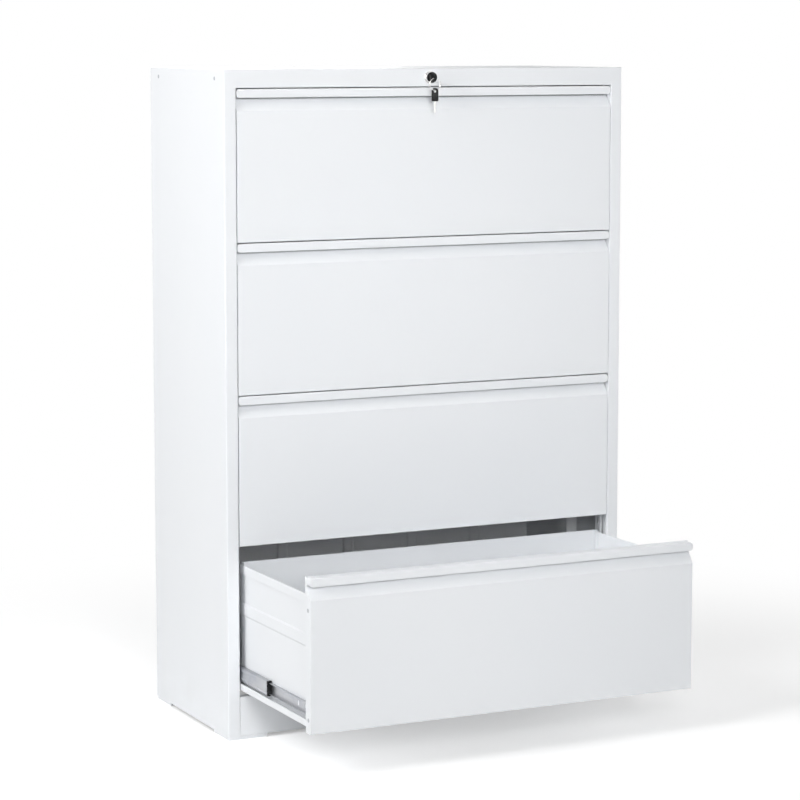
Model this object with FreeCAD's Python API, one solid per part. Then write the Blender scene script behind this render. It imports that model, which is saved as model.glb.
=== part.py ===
import FreeCAD, Part
import math
import os

from FreeCAD import Vector

# Four-drawer lateral filing cabinet in folded steel sheet, bottom drawer drawn out.
# X runs across the front, Y from the front to the back, Z up. Millimetres.
# Everything is modelled from the front plane (Y = 0) and moved to the plan's centre when written.

# Cabinet
cabinet_width = 900.0
cabinet_depth = 400.0
cabinet_height = 1340.0
cap_height = 36.0
foot_height = 6.5
kick_height = 81.0
stile_width = 26.0
stile_return = 17.5
stile_lip = 10.0
rear_flange = 20.0
rail_flange = 26.0
sheet = 1.2
bend = 1.2
seat = 0.1
seam = 0.2
overrun = 2.0
slot_flat = 0.05
drawer_count = 4

# Side panel's upstand inside the cap, and the screws that hold the cap to it
upstand_height = 28.0
upstand_clearance = 4.0
cap_screw_head_radius = 3.8
cap_screw_head_height = 0.8
cap_screw_radius = 2.0
cap_screw_length = 6.0
cap_screw_hole_clearance = 0.15
cap_screw_from_end = 48.0
cap_edge_round = 1.5

# Kick rail
kick_top_flange = 20.0
kick_top_lip = 8.0
kick_bottom_flange = 15.0

# Corner feet
foot_leg_x = 85.0
foot_leg_y = 80.0
foot_wall = 30.0
foot_sole = 20.0
foot_notch_clearance = 2.0

# Back panel
bead_width = 26.0
bead_depth = 3.0
bead_slope = 4.0
bead_place_shares = (-0.7, -0.35, 0.0, 0.35, 0.7)
back_upstand = 20.0

# Slide uprights, the channels that carry the slides
upright_stand = 25.8
upright_above_foot = 3.5
upright_top_clearance = 4.0
upright_behind_return = 2.0
front_upright_width = 25.0
rear_upright_share = 0.42
rear_upright_width = 40.0
upright_slot_width = 5.0
upright_slot_length = 14.0
upright_slot_rise = 62.0

# Drawer front
front_gap = 2.2
side_gap = 1.3
front_return = 24.0
drawer_sheet = 1.0
lip_height = 17.3
lip_corner = 6.5
lip_corner_back = 19.0
recess_height = 26.0
recess_depth = 18.5
front_edge_round = 1.2
lip_edge_round = 2.0
top_hem = 12.0

# Drawer box
pan_rise = 11.0
pan_band = 14.0
pan_side_clearance = 2.0
side_below_lip = 20.0
back_above_sides = 4.0
box_back_clearance = 33.0
front_flange = 15.0
back_flange = 12.0
back_hem = 12.0
hem_depth = 18.0
hem_stand = 2.0
hem_bend = 0.5
rib_below_top = 104.0
rib_height = 28.0
rib_slope = 4.0
rib_depth = 2.0

# Fixings in the side returns of the drawer fronts
plug_radius = 3.2
plug_head = 0.5
plug_pin_radius = 2.2
plug_pin = 3.0
plug_low = 26.0
plug_below_slope = 20.0

# Ball slides
slide_thickness = 12.5
slide_height = 35.0
slide_above_band = 1.0
slide_past_box = 9.0
slide_sheet = 1.2
member_sheet = 1.0
slide_bend = 0.8
race_gap = 1.9
outer_flange = 9.5
middle_web = 2.2
middle_flange = 8.6
inner_flange = 7.5
middle_set_back = 18.5
middle_back_clearance = 4.0
inner_set_back = 2.0
inner_back_clearance = 4.0
bumper_length = 6.0
bumper_thickness = 2.6
bumper_proud = 0.9
bumper_bend = 0.4
cage_thickness = 1.3
cage_width = 4.0
cage_length_share = 0.4
cage_from_web = 1.6
inner_slot_from_front = 26.0
inner_slot_width = 5.0
inner_slot_height = 10.0
outer_hole_radius = 2.4
outer_hole_shares = (0.06, 0.48)

# How far the drawers travel past their slides' length, and how short of that the bottom one stands
slide_overtravel = 3.0
open_short_of_stop = 10.0

# Lock in the top rail
lock_rise = 18.0
barrel_radius = 10.8
barrel_out = 12.0
barrel_body_radius = 9.0
barrel_body_length = 16.0
mouth_radius = 8.5
mouth_depth = 10.0
plug_running_clearance = 0.05
lock_plug_radius = 7.9
flange_ring_radius = 12.5
flange_ring_thickness = 2.0
barrel_edge = 0.6
nut_flats = 22.0
nut_corners = 6
nut_thickness = 4.0
thread_clearance = 0.1
cam_thickness = 2.0
cam_gap = 0.4
cam_throw = 12.0
cam_end_radius = 3.6
cam_hub_radius = 6.5
cam_pin_radius = 2.0
cam_pin_out = 4.4
lock_turn = 90.0

# Key, ring and spare key
key_head_width = 15.5
key_head_length = 27.0
key_head_thickness = 4.0
key_head_corner = 5.0
key_hole_radius = 2.8
key_hole_from_end = 5.6
key_blade_width = 7.6
key_blade_thickness = 1.9
key_blade_length = 12.0
key_slot_clearance = 0.15
ring_mean_radius = 12.0
ring_wire_radius = 0.75
ring_hang = 0.3
spare_head_width = 15.9
spare_head_thickness = 3.0
spare_hole_radius = 3.0
spare_hole_from_top = 6.4
spare_hang = 0.7
spare_blade_length = 24.0
spare_tip = 3.0
spare_turn = -52.0

# Locking gear behind the rail and the right stile
link_thickness = 2.0
link_height = 13.0
link_gap = 0.3
link_start = 16.0
link_end_clearance = 6.0
link_slot_play = 0.6
link_plate_width = 32.0
link_plate_height = 30.0
rod_width = 10.0
rod_thickness = 2.5
rod_from_upright_face = 3.0
rod_behind_upright = 3.0
rod_below_tab = 50.0
rod_head_width = 22.0
rod_head_above_rail = 4.0
rod_head_height = 24.0
rod_pin_radius = 2.0
rod_pin_inset = 6.0
rod_pin_rise = 17.0
rod_pin_play = 0.3
rod_drop = 12.0
tab_side_clearance = 3.0
tab_height = 14.0
tab_above_catch = 3.0
catch_below_rib = 68.0
catch_height = 15.0
catch_reach = 8.5
catch_gap = 1.5
guide_wall = 1.5
guide_play = 0.3
guide_height = 14.0
guide_place_shares = (0.2, 0.55, 0.92)

# Places that follow from the sizes above
half_width = cabinet_width / 2
cap_bottom = cabinet_height - cap_height
kick_top = foot_height + kick_height
opening_half = half_width - stile_width
front_half = opening_half - side_gap
front_height = (cap_bottom - kick_top - (drawer_count + 1) * front_gap) / drawer_count
drawer_pitch = front_height + front_gap
lip_bottom = front_height - lip_height
slope_foot = lip_bottom - recess_height
side_height = lip_bottom - side_below_lip
back_height = side_height + back_above_sides
rib_bottom = side_height - rib_below_top
catch_rise = rib_bottom - catch_below_rib
tab_rise = catch_rise + catch_height + tab_above_catch
plug_high = slope_foot - plug_below_slope
upright_face = half_width - sheet - upright_stand
upright_bottom = foot_height + foot_wall + upright_above_foot
upright_top = cap_bottom - upright_top_clearance
box_half = upright_face - slide_thickness
pan_half = opening_half - pan_side_clearance
pan_top = pan_rise + drawer_sheet
box_length = cabinet_depth - box_back_clearance
front_upright_start = front_return + upright_behind_return
slide_front = front_upright_start
slide_length = box_length + slide_past_box - slide_front
rear_upright_start = slide_front + rear_upright_share * slide_length
inner_front = slide_front + inner_set_back
middle_front = slide_front + middle_set_back
cage_length = cage_length_share * slide_length
slide_middle_rise = pan_rise + pan_band + slide_above_band + slide_height / 2
drawer_travel = slide_length + slide_overtravel
bottom_drawer_open = drawer_travel - open_short_of_stop
lock_axis_z = cap_bottom + lock_rise
link_end = half_width - link_end_clearance
rod_x = upright_face + rod_from_upright_face
rod_front = front_upright_start + front_upright_width + rod_behind_upright
rod_head_bottom = cap_bottom + rod_head_above_rail
rod_head_top = rod_head_bottom + rod_head_height
rod_pin_x = rod_x + rod_width - rod_head_width + rod_pin_inset
rod_pin_z = rod_head_bottom + rod_pin_rise
plan_centre = (cabinet_depth - bottom_drawer_open) / 2


def box(low_x, high_x, low_y, high_y, low_z, high_z):
    """A block between two corners."""
    size = (high_x - low_x, high_y - low_y, high_z - low_z)
    return Part.makeBox(*size, Vector(low_x, low_y, low_z))


def on_plan(height):
    """Outlines drawn from above, at a height."""
    return lambda across, back: Vector(across, back, height)


def on_front(back):
    """Outlines drawn from the front, at a depth."""
    return lambda across, up: Vector(across, back, up)


def on_side(across):
    """Outlines drawn from the side, at a place across the cabinet."""
    return lambda back, up: Vector(across, back, up)


def unit(start, end):
    """Direction from one outline point to the next."""
    run = (end[0] - start[0], end[1] - start[1])
    length = math.hypot(*run)
    return (run[0] / length, run[1] / length)


def corner_arc(before, corner, after, radius):
    """Start, middle and end of the arc that rounds one corner of an outline."""
    into = unit(before, corner)
    out = unit(corner, after)
    cross = into[0] * out[1] - into[1] * out[0]
    turn = math.atan2(abs(cross), into[0] * out[0] + into[1] * out[1])
    reach = radius * math.tan(turn / 2)
    side = math.copysign(radius, cross)
    start = (corner[0] - into[0] * reach, corner[1] - into[1] * reach)
    end = (corner[0] + out[0] * reach, corner[1] + out[1] * reach)
    centre = (start[0] - into[1] * side, start[1] + into[0] * side)
    to_corner = unit(centre, corner)
    middle = (centre[0] + to_corner[0] * radius, centre[1] + to_corner[1] * radius)
    return start, middle, end


def outline(points, radii, place):
    """A flat face with each corner rounded by its own radius, or sharp where that is 0."""
    edges = []
    stops = []
    count = len(points)
    for index, corner in enumerate(points):
        radius = radii[index]
        if radius > 0:
            start, middle, end = corner_arc(points[index - 1], corner, points[(index + 1) % count], radius)
            edges.append(Part.Arc(place(*start), place(*middle), place(*end)).toShape())
            stops.append((place(*start), place(*end)))
        else:
            stops.append((place(*corner), place(*corner)))
    for index in range(count):
        leave = stops[index][1]
        arrive = stops[(index + 1) % count][0]
        edges.append(Part.LineSegment(leave, arrive).toShape())
    return Part.Face(Part.Wire(Part.__sortEdges__(edges)))


def beside(points, thickness):
    """The points of a line that runs at a set distance to the right of another, with mitred corners."""
    runs = [unit(start, end) for start, end in zip(points, points[1:])]
    rights = [(run[1], -run[0]) for run in runs]
    moved = []
    for index, point in enumerate(points):
        first = rights[max(index - 1, 0)]
        second = rights[min(index, len(rights) - 1)]
        share = 1 + first[0] * second[0] + first[1] * second[1]
        shift = ((first[0] + second[0]) / share, (first[1] + second[1]) / share)
        moved.append((point[0] + shift[0] * thickness, point[1] + shift[1] * thickness))
    return moved


def folded(points, thickness, inner_radius, place, sweep):
    """Folded sheet: a bent strip on the right of a line, swept along a direction."""
    inside = beside(points, thickness)
    line_radii = [0]
    for before, corner, after in zip(points, points[1:], points[2:]):
        into = unit(before, corner)
        out = unit(corner, after)
        turns_right = into[0] * out[1] - into[1] * out[0] < 0
        line_radii.append(inner_radius + thickness if turns_right else inner_radius)
    line_radii.append(0)
    inside_radii = [0] + [2 * inner_radius + thickness - radius for radius in line_radii[1:-1]] + [0]
    loop = list(points) + inside[::-1]
    return outline(loop, line_radii + inside_radii[::-1], place).extrude(sweep)


def rod_y(across, up, radius, front, back):
    """A round bar that runs from front to back."""
    return Part.makeCylinder(radius, back - front, Vector(across, front, up), Vector(0, 1, 0))


def rod_x_axis(low_x, high_x, back, up, radius):
    """A round bar that runs across the cabinet."""
    return Part.makeCylinder(radius, high_x - low_x, Vector(low_x, back, up), Vector(1, 0, 0))


def mirrored(shape):
    """The same piece on the other side of the cabinet."""
    return shape.mirror(Vector(0, 0, 0), Vector(1, 0, 0))


def both_sides(shape):
    """A left-hand piece and its mirror, as separate solids."""
    return group([shape, mirrored(shape)])


def group(shapes):
    """Separate solids that share one file."""
    solids = []
    for shape in shapes:
        solids.extend(shape.Solids)
    return Part.makeCompound(solids)


def joined(shapes):
    """One solid from pieces that meet."""
    whole = shapes[0].fuse(shapes[1:]).removeSplitter()
    return whole.Solids[0] if len(whole.Solids) == 1 else whole


def drawer_bottom(index):
    """Height of the underside of a drawer's front, counted from the top drawer."""
    return cap_bottom - (index + 1) * drawer_pitch


def side_panel_left():
    """Left side in one sheet: stile with its return and lip, skin and rear flange."""
    path = [
        (-opening_half - stile_lip, stile_return),
        (-opening_half, stile_return),
        (-opening_half, 0),
        (-half_width, 0),
        (-half_width, cabinet_depth),
        (-half_width + rear_flange, cabinet_depth),
    ]
    skin = folded(path, sheet, bend, on_plan(foot_height), Vector(0, 0, cap_bottom - foot_height))
    upstand_face = -half_width + sheet + seat
    ends = (rail_flange + upstand_clearance, cabinet_depth - rail_flange - upstand_clearance)
    step = box(-half_width, upstand_face + sheet, *ends, cap_bottom - sheet, cap_bottom)
    upstand = box(upstand_face, upstand_face + sheet, *ends, cap_bottom - sheet, cap_bottom + upstand_height)
    panel = joined([skin, step, upstand])
    notch_inner = -half_width + 2 * (sheet + bend)
    notch_top = foot_wall + foot_notch_clearance
    front_notch = box(notch_inner, -opening_half + overrun, sheet, stile_return + overrun, 0, notch_top)
    return panel.cut(front_notch).cut(cap_screw_holes(-1))


def cap_screw_places():
    """Depths of the screws along the cap's side."""
    return (cap_screw_from_end, cabinet_depth - cap_screw_from_end)


def cap_screw_holes(side):
    """Holes for the cap's screws on one side of the cabinet, -1 for left and 1 for right."""
    radius = cap_screw_radius + cap_screw_hole_clearance
    ends = sorted((side * (half_width + overrun), side * (half_width - cap_screw_length - overrun)))
    holes = [rod_x_axis(*ends, place, lock_axis_z, radius) for place in cap_screw_places()]
    return group(holes)


def cap_screws():
    """Low round screws, two in each side of the cap."""
    screws = []
    for place in cap_screw_places():
        head_start = -half_width - cap_screw_head_height
        head = rod_x_axis(head_start, -half_width, place, lock_axis_z, cap_screw_head_radius)
        head = head.makeFillet(cap_screw_head_height / 2, [head.Edges[0]])
        shank = rod_x_axis(-half_width, -half_width + cap_screw_length, place, lock_axis_z, cap_screw_radius)
        screw = joined([head, shank])
        screws.extend([screw, mirrored(screw)])
    return group(screws)


def rectangle(low_x, high_x, low_y, high_y):
    """Corners of a rectangle, in order."""
    return [(low_x, low_y), (high_x, low_y), (high_x, high_y), (low_x, high_y)]


def top_cap():
    """Cap: a pan turned upside down, whose front skirt is the top rail with a flange behind it."""
    corner = bend + sheet
    outer_plan = rectangle(-half_width, half_width, 0, cabinet_depth)
    outer_face = outline(outer_plan, [corner] * len(outer_plan), on_plan(cap_bottom))
    outer = outer_face.extrude(Vector(0, 0, cap_height))
    rim = [edge for edge in outer.Edges if edge.BoundBox.ZMin > cabinet_height - seat]
    outer = outer.makeFillet(cap_edge_round, rim)
    inner_plan = rectangle(-half_width + sheet, half_width - sheet, sheet, cabinet_depth - sheet)
    inner_face = outline(inner_plan, [bend] * len(inner_plan), on_plan(cap_bottom))
    inner = inner_face.extrude(Vector(0, 0, cap_height - sheet))
    flange_half = half_width - sheet
    flange = box(-flange_half, flange_half, sheet, rail_flange, cap_bottom, cap_bottom + sheet)
    cap = joined([outer.cut(inner), flange])
    lock_hole = rod_y(0, lock_axis_z, barrel_body_radius + thread_clearance, -overrun, sheet + overrun)
    return cap.cut(group([lock_hole, cap_screw_holes(-1), cap_screw_holes(1)]))


def kick_rail():
    """Kick rail between the stiles, with flanges along its top and bottom."""
    half = opening_half - seam
    path = [
        (kick_bottom_flange, foot_height),
        (0, foot_height),
        (0, kick_top),
        (kick_top_flange, kick_top),
        (kick_top_flange, kick_top - kick_top_lip),
    ]
    rail = folded(path, sheet, bend, on_side(-half), Vector(2 * half, 0, 0))
    foot_end = half_width - foot_leg_x - foot_notch_clearance
    notch_top = foot_wall + foot_notch_clearance
    notch = box(foot_end, half_width, sheet, kick_bottom_flange + overrun, 0, notch_top)
    return rail.cut(both_sides(notch))


def corner_foot(rear):
    """A folded angle inside a left-hand corner of the cabinet, with a flat sole turned in."""
    wall_x = -half_width + sheet
    end_x = -half_width + foot_leg_x
    wall_y = cabinet_depth - 2 * sheet if rear else sheet
    end_y = cabinet_depth - foot_leg_y if rear else foot_leg_y
    corner_path = [(end_x, wall_y), (wall_x, wall_y), (wall_x, end_y)]
    inward = 1
    if rear:
        corner_path = corner_path[::-1]
        inward = -1
    walls = folded(corner_path, sheet, bend, on_plan(0), Vector(0, 0, foot_wall))
    sole_points = [
        (wall_x, wall_y),
        (end_x, wall_y),
        (end_x, wall_y + inward * foot_sole),
        (wall_x + foot_sole, wall_y + inward * foot_sole),
        (wall_x + foot_sole, end_y),
        (wall_x, end_y),
    ]
    sole_radii = [bend + sheet, 0, 0, bend, 0, 0]
    sole = outline(sole_points, sole_radii, on_plan(0)).extrude(Vector(0, 0, sheet))
    return joined([walls, sole])


def corner_feet():
    """The four corner feet."""
    front_foot = corner_foot(False)
    rear_foot = corner_foot(True)
    return group([front_foot, mirrored(front_foot), rear_foot, mirrored(rear_foot)])


def back_panel():
    """Back panel inside the rear flanges, with upright stiffening beads pressed inwards."""
    half = half_width - sheet - bend - seat
    face = cabinet_depth - sheet
    path = [(-half, face)]
    for share in bead_place_shares:
        middle = share * half
        path.append((middle - bead_width / 2, face))
        path.append((middle - bead_width / 2 + bead_slope, face - bead_depth))
        path.append((middle + bead_width / 2 - bead_slope, face - bead_depth))
        path.append((middle + bead_width / 2, face))
    path.append((half, face))
    height = cap_bottom + back_upstand - foot_height
    return folded(path, sheet, bend, on_plan(foot_height), Vector(0, 0, height))


def stadium(middle_a, middle_b, width, length, place):
    """Outline of a slot with round ends, longer in its second direction."""
    points = rectangle(
        middle_a - width / 2, middle_a + width / 2, middle_b - length / 2, middle_b + length / 2
    )
    radius = width / 2 - slot_flat
    return outline(points, [radius] * len(points), place)


def slide_upright(start, width):
    """A channel on the left skin with slots above and below every slide."""
    skin = -half_width + sheet
    path = [(skin, start + width), (-upright_face, start + width), (-upright_face, start), (skin, start)]
    height = Vector(0, 0, upright_top - upright_bottom)
    channel = folded(path, sheet, bend, on_plan(upright_bottom), height)
    slots = []
    for index in range(drawer_count):
        slide_z = drawer_bottom(index) + slide_middle_rise
        for rise in (-upright_slot_rise, upright_slot_rise):
            middle = (start + width / 2, slide_z + rise)
            face = stadium(*middle, upright_slot_width, upright_slot_length, on_side(-upright_face - overrun))
            slots.append(face.extrude(Vector(2 * overrun, 0, 0)))
    top_slot_limit = upright_bottom + upright_slot_length
    kept = [slot for slot in slots if slot.BoundBox.ZMin > top_slot_limit]
    return channel.cut(group(kept))


def slide_uprights():
    """Front and rear uprights on both sides."""
    front_upright = slide_upright(front_upright_start, front_upright_width)
    rear_upright = slide_upright(rear_upright_start, rear_upright_width)
    return group([front_upright, mirrored(front_upright), rear_upright, mirrored(rear_upright)])


def drawer_front(bottom):
    """Drawer front: a pan whose top edge is a lip over a sloped finger recess that is open at both ends."""
    top = bottom + front_height
    front_line = [
        (front_return, bottom),
        (0, bottom),
        (0, bottom + slope_foot),
        (recess_depth, bottom + lip_bottom),
        (0, bottom + lip_bottom),
        (0, top),
        (front_return, top),
    ]
    back_line = beside(front_line, drawer_sheet)
    outer_radii = [0, front_edge_round, 0, 0, front_edge_round, lip_edge_round, 0]
    outer = outline(front_line, outer_radii, on_side(-front_half)).extrude(Vector(2 * front_half, 0, 0))
    behind = front_return + overrun
    hollow_points = [(behind, back_line[0][1])] + back_line[1:-1] + [(behind, back_line[-1][1])]
    inner_half = front_half - drawer_sheet
    hollow_face = outline(hollow_points, [0] * len(hollow_points), on_side(-inner_half))
    hollow = hollow_face.extrude(Vector(2 * inner_half, 0, 0))
    centre_x = front_half - lip_corner
    for up, way in ((top, 1), (bottom + lip_bottom, -1)):
        centre_z = up - way * lip_corner
        outer = outer.cut(both_sides(lip_corner_cut(centre_x, centre_z, way, lip_corner)))
        hollow = hollow.cut(both_sides(lip_corner_cut(centre_x, centre_z, way, lip_corner - drawer_sheet)))
    corner_reach = front_half - lip_corner
    top_strip = box(
        -corner_reach, corner_reach, front_return - drawer_sheet, front_return, top - top_hem, top
    )
    low_strip = box(
        -inner_half, inner_half, front_return - drawer_sheet, front_return, bottom, bottom + pan_rise
    )
    front = joined([outer.cut(hollow), top_strip, low_strip])
    upright_edges = [
        edge for edge in front.Edges
        if edge.BoundBox.YMax < seat and edge.BoundBox.XLength < seat
        and abs(edge.BoundBox.XMin) > front_half - seat and edge.BoundBox.ZLength > front_height / 2
    ]
    front = front.makeFillet(front_edge_round / 2, upright_edges)
    return front.cut(plug_holes(bottom))


def lip_corner_cut(centre_x, centre_z, way, radius):
    """What is taken off one corner of the lip's right-hand end to round it."""
    low, high = sorted((centre_z, centre_z + way * lip_corner))
    block = box(centre_x, centre_x + lip_corner + overrun, -overrun, lip_corner_back, low, high)
    return block.cut(rod_y(centre_x, centre_z, radius, -2 * overrun, lip_corner_back + overrun))


def plug_places(bottom):
    """Depth and height of the fixings in a side return."""
    return [(front_return / 2, bottom + plug_low), (front_return / 2, bottom + plug_high)]


def plug_holes(bottom):
    """Holes for the fixings in both side returns of a drawer front."""
    radius = plug_pin_radius + thread_clearance
    start = -front_half - overrun
    holes = [rod_x_axis(start, -front_half + plug_pin, *place, radius) for place in plug_places(bottom)]
    return both_sides(group(holes))


def front_plugs(bottom):
    """The fixings themselves: a low round head and a short pin."""
    plugs = []
    for place in plug_places(bottom):
        head = rod_x_axis(-front_half - plug_head, -front_half, *place, plug_radius)
        pin = rod_x_axis(-front_half, -front_half + plug_pin, *place, plug_pin_radius)
        plugs.append(joined([head, pin]))
    return both_sides(group(plugs))


def drawer_side_left(bottom):
    """Drawer side in one sheet: pressed rib, and a hem folded out and down along its top."""
    hem_top = bottom + side_height - drawer_sheet
    rib_low = bottom + rib_bottom
    rib_high = rib_low + rib_height
    section = [
        (-box_half, bottom + pan_top),
        (-box_half, rib_low),
        (-box_half - rib_depth, rib_low + rib_slope),
        (-box_half - rib_depth, rib_high - rib_slope),
        (-box_half, rib_high),
        (-box_half, hem_top),
        (-box_half - hem_stand, hem_top),
        (-box_half - hem_stand, bottom + side_height - hem_depth),
    ]
    start = drawer_sheet
    wall = folded(section, drawer_sheet, hem_bend, on_front(start), Vector(0, box_length - start, 0))
    flange = box(
        -box_half, -box_half + front_flange, start, start + drawer_sheet, bottom + pan_top, bottom + slope_foot
    )
    clear_back = recess_depth + 2 * drawer_sheet
    room = box(
        -box_half - 2 * hem_stand, -box_half + front_flange + overrun,
        -overrun, clear_back, bottom + slope_foot - drawer_sheet, bottom + front_height
    )
    return joined([wall, flange]).cut(room)


def drawer_catch(bottom):
    """Catch plate welded to the right-hand drawer side, which the lock rod's tab blocks."""
    front = rod_front + rod_thickness + catch_gap
    low = bottom + catch_rise
    return box(box_half, box_half + catch_reach, front, front + drawer_sheet, low, low + catch_height)


def drawer_side_right(bottom):
    """The other drawer side, with the catch."""
    return group([mirrored(drawer_side_left(bottom)), drawer_catch(bottom)])


def drawer_back(bottom):
    """Drawer back with flanges inside the two sides and a hem along its top."""
    half = box_half - drawer_sheet
    path = [
        (-half, box_length - back_flange),
        (-half, box_length),
        (half, box_length),
        (half, box_length - back_flange),
    ]
    rise = Vector(0, 0, back_height - pan_top)
    wall = folded(path, drawer_sheet, hem_bend, on_plan(bottom + pan_top), rise)
    hem_half = half - back_flange
    hem_back = box_length - drawer_sheet
    top = bottom + back_height
    hem = box(-hem_half, hem_half, hem_back - drawer_sheet, hem_back, top - back_hem, top)
    return joined([wall, hem])


def drawer_bottom_pan(bottom):
    """Bottom pan, wider than the box, whose turned-up edges run under the slides."""
    level = bottom + pan_rise
    section = [
        (pan_half, level + pan_band),
        (pan_half, level),
        (-pan_half, level),
        (-pan_half, level + pan_band),
    ]
    start = drawer_sheet
    pan = folded(section, drawer_sheet, hem_bend, on_front(start), Vector(0, box_length - start, 0))
    inner_half = pan_half - drawer_sheet - hem_bend
    corner = box(
        inner_half, pan_half + overrun, -overrun, front_return + seam,
        level - overrun, level + pan_band + overrun
    )
    return pan.cut(both_sides(corner))


def channel_section(web, flange_end, half_height, centre_z, opens_in):
    """Section line of a slide member, measured in from the upright's face on the left."""
    web_x = -upright_face + web
    tip_x = -upright_face + flange_end
    path = [
        (tip_x, centre_z - half_height),
        (web_x, centre_z - half_height),
        (web_x, centre_z + half_height),
        (tip_x, centre_z + half_height),
    ]
    return path if opens_in else path[::-1]


def slide_half_heights():
    """Half heights of the cabinet, middle and drawer members of a slide."""
    outer_half = slide_height / 2
    middle_half = outer_half - slide_sheet - race_gap
    inner_half = middle_half - member_sheet - race_gap
    return outer_half, middle_half, inner_half


def slide_outer(bottom):
    """Cabinet member of a left-hand slide."""
    centre_z = bottom + slide_middle_rise
    section = channel_section(0, outer_flange, slide_half_heights()[0], centre_z, True)
    member = folded(section, slide_sheet, slide_bend, on_front(slide_front), Vector(0, slide_length, 0))
    holes = []
    for share in outer_hole_shares:
        place = slide_front + share * slide_length
        ends = (-upright_face - overrun, -upright_face + overrun)
        holes.append(rod_x_axis(*ends, place, centre_z, outer_hole_radius))
    return member.cut(group(holes))


def slide_middle(bottom):
    """Middle member, nested in the cabinet member."""
    centre_z = bottom + slide_middle_rise
    tip = middle_web + middle_flange
    section = channel_section(middle_web, tip, slide_half_heights()[1], centre_z, True)
    back = slide_front + slide_length - middle_back_clearance
    sweep = Vector(0, back - middle_front, 0)
    return folded(section, member_sheet, slide_bend, on_front(middle_front), sweep)


def slide_inner(bottom):
    """Drawer member, fixed to the drawer side, with an open slot near its front."""
    centre_z = bottom + slide_middle_rise
    tip = slide_thickness - inner_flange
    section = channel_section(slide_thickness, tip, slide_half_heights()[2], centre_z, False)
    back = slide_front + slide_length - inner_back_clearance
    member = folded(section, member_sheet, slide_bend, on_front(inner_front), Vector(0, back - inner_front, 0))
    slot_y = inner_front + inner_slot_from_front
    slot = stadium(slot_y, centre_z, inner_slot_width, inner_slot_height, on_side(-box_half - overrun))
    return member.cut(slot.extrude(Vector(2 * overrun, 0, 0)))


def slide_cage(bottom):
    """Black end piece of the middle member and the ball cages in its raceways."""
    centre_z = bottom + slide_middle_rise
    outer_half, middle_half, inner_half = slide_half_heights()
    web = middle_web - bumper_proud / 2
    tip = middle_web + middle_flange + bumper_proud / 2
    section = channel_section(web, tip, middle_half + bumper_proud, centre_z, True)
    start = middle_front - bumper_length
    pieces = [folded(section, bumper_thickness, bumper_bend, on_front(start), Vector(0, bumper_length, 0))]
    low_x = -upright_face + middle_web + cage_from_web
    back = slide_front + slide_length - middle_back_clearance
    for way in (-1, 1):
        near, far = sorted((centre_z + way * middle_half, centre_z + way * (middle_half + cage_thickness)))
        pieces.append(box(low_x, low_x + cage_width, back - cage_length, back, near, far))
        race = middle_half - member_sheet
        near, far = sorted((centre_z + way * race, centre_z + way * (race - cage_thickness)))
        inner_x = low_x + cage_from_web
        pieces.append(box(inner_x, inner_x + cage_width, middle_front, middle_front + cage_length, near, far))
    return group(pieces)


def outer_slides():
    """Cabinet members of the left-hand slides, one a drawer."""
    return group([slide_outer(drawer_bottom(index)) for index in range(drawer_count)])


def lock_barrel():
    """Black barrel: a round head with a deep mouth in front of the rail and a threaded body behind it."""
    bore = lock_plug_radius + plug_running_clearance
    head = rod_y(0, lock_axis_z, barrel_radius, -barrel_out, -flange_ring_thickness)
    front_rim = [edge for edge in head.Edges if edge.BoundBox.YMax < -barrel_out + seat]
    head = head.makeFillet(barrel_edge, front_rim)
    body = rod_y(0, lock_axis_z, barrel_body_radius, -flange_ring_thickness, barrel_body_length)
    mouth = rod_y(0, lock_axis_z, mouth_radius, -barrel_out - overrun, -barrel_out + mouth_depth)
    through = rod_y(0, lock_axis_z, bore, -barrel_out, barrel_body_length + overrun)
    return joined([head, body]).cut(mouth).cut(through)


def lock_flange_ring():
    """Bright ring between the barrel's head and the rail."""
    ring = rod_y(0, lock_axis_z, flange_ring_radius, -flange_ring_thickness, 0)
    front_rim = [edge for edge in ring.Edges if edge.BoundBox.YMax < -flange_ring_thickness + seat]
    ring = ring.makeFillet(barrel_edge, front_rim)
    radius = barrel_body_radius + thread_clearance
    return ring.cut(rod_y(0, lock_axis_z, radius, -flange_ring_thickness - overrun, overrun))


def lock_nut():
    """Hexagon nut that clamps the barrel to the rail from behind."""
    corner = nut_flats / math.sqrt(3)
    points = []
    for index in range(nut_corners):
        angle = math.tau * index / nut_corners
        points.append((corner * math.cos(angle), lock_axis_z + corner * math.sin(angle)))
    body = outline(points, [0] * len(points), on_front(sheet)).extrude(Vector(0, nut_thickness, 0))
    radius = barrel_body_radius + thread_clearance
    return body.cut(rod_y(0, lock_axis_z, radius, -overrun, sheet + nut_thickness + overrun))


def lock_plug():
    """Plug that turns in the barrel, slotted for the key."""
    front = -barrel_out + mouth_depth
    back = barrel_body_length + cam_gap
    plug = rod_y(0, lock_axis_z, lock_plug_radius, front, back)
    half_slot = key_blade_thickness / 2 + key_slot_clearance
    half_tall = key_blade_width / 2 + key_slot_clearance
    slot_back = front + key_blade_length + key_slot_clearance
    levels = (lock_axis_z - half_tall, lock_axis_z + half_tall)
    slot = box(-half_slot, half_slot, front - overrun, slot_back, *levels)
    return plug.cut(slot)


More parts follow.
